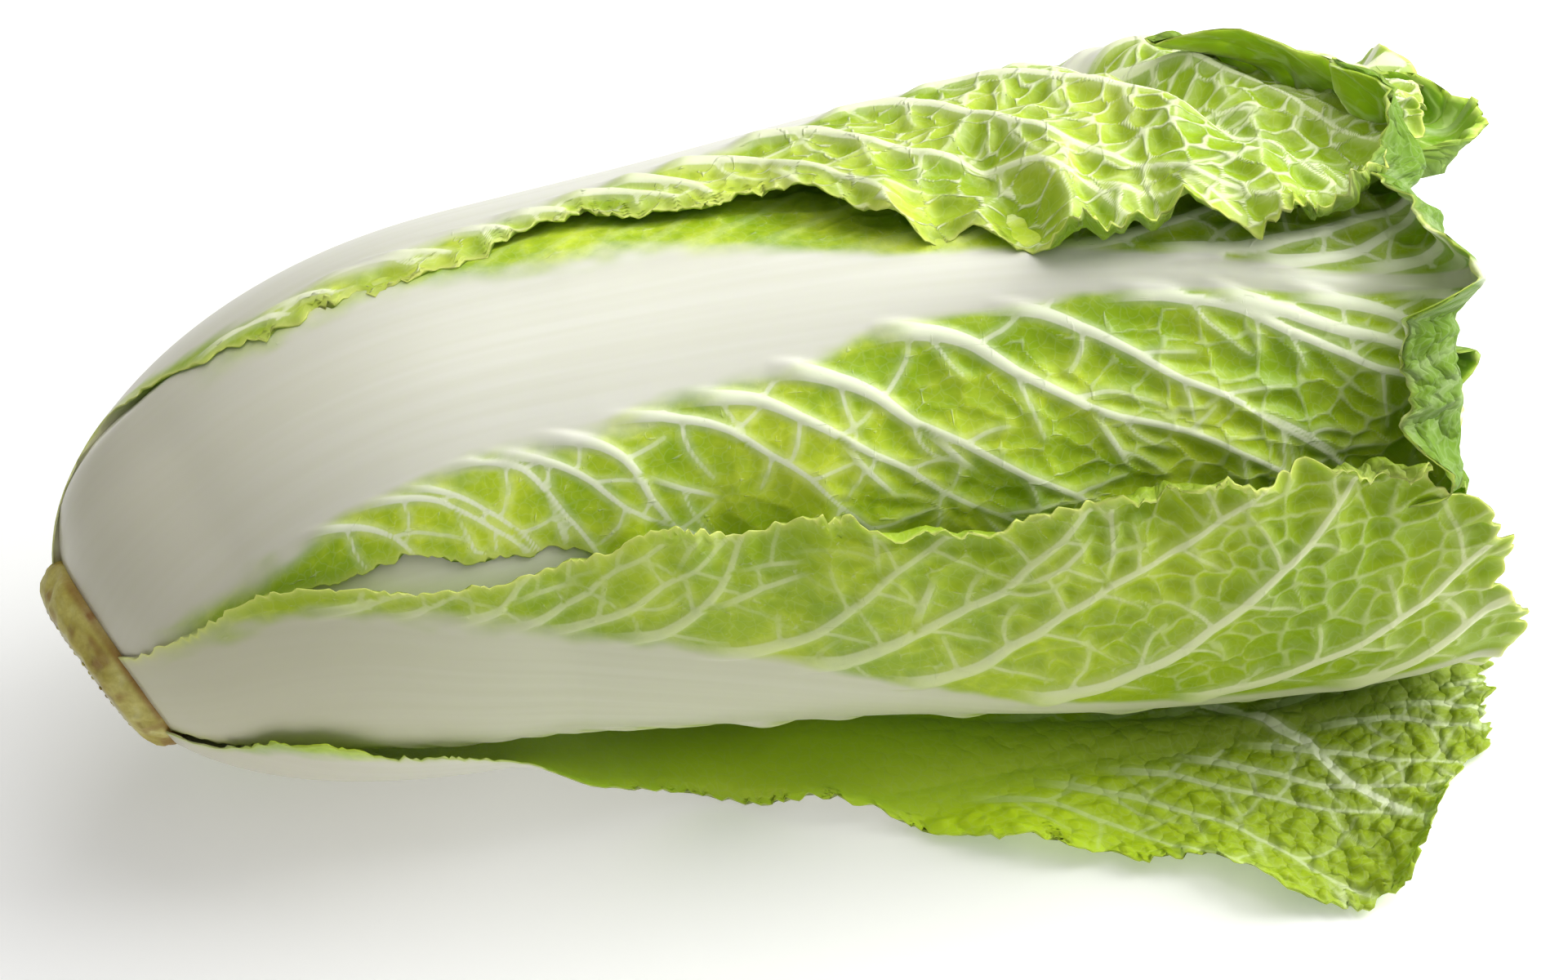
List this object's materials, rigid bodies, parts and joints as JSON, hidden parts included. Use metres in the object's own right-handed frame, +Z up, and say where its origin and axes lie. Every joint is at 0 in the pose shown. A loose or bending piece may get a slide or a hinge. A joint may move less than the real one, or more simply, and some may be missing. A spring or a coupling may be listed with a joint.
{
  "type": "napa cabbage",
  "caption": "Head of napa cabbage lying on its side: short cut stem, broad white stalks and crinkled green leaves wrapped round a dense heart, the lowest leaf opened out under it",
  "frame": {"origin": "on the surface that the head lies on, at the middle of the flat underside of the opened lowest leaf", "axes": "+X runs along the head from the cut stem to the leaf tips, +Z is up, and the opened leaf spreads towards -Y"},
  "size_m": [0.3548, 0.1974, 0.1458],
  "materials": {
    "stem_cut": "dry cut plant tissue, slightly rough",
    "leaf_outer": "waxy leaf, satin, white stalk and veins",
    "leaf_inner": "waxy leaf, satin, paler than the outer leaves",
    "heart_leaves": "pale yellow tender leaves, satin"
  },
  "bodies": {
    "root": {"stem": "stem_cut", "outer_leaf_1": "leaf_outer", "outer_leaf_2": "leaf_outer", "outer_leaf_3": "leaf_outer", "outer_leaf_4": "leaf_outer", "outer_leaf_5": "leaf_outer", "inner_leaf_1": "leaf_inner", "inner_leaf_2": "leaf_inner", "inner_leaf_3": "leaf_inner", "inner_leaf_4": "leaf_inner", "inner_leaf_5": "leaf_inner", "heart": "heart_leaves"}
  },
  "joints": []
}
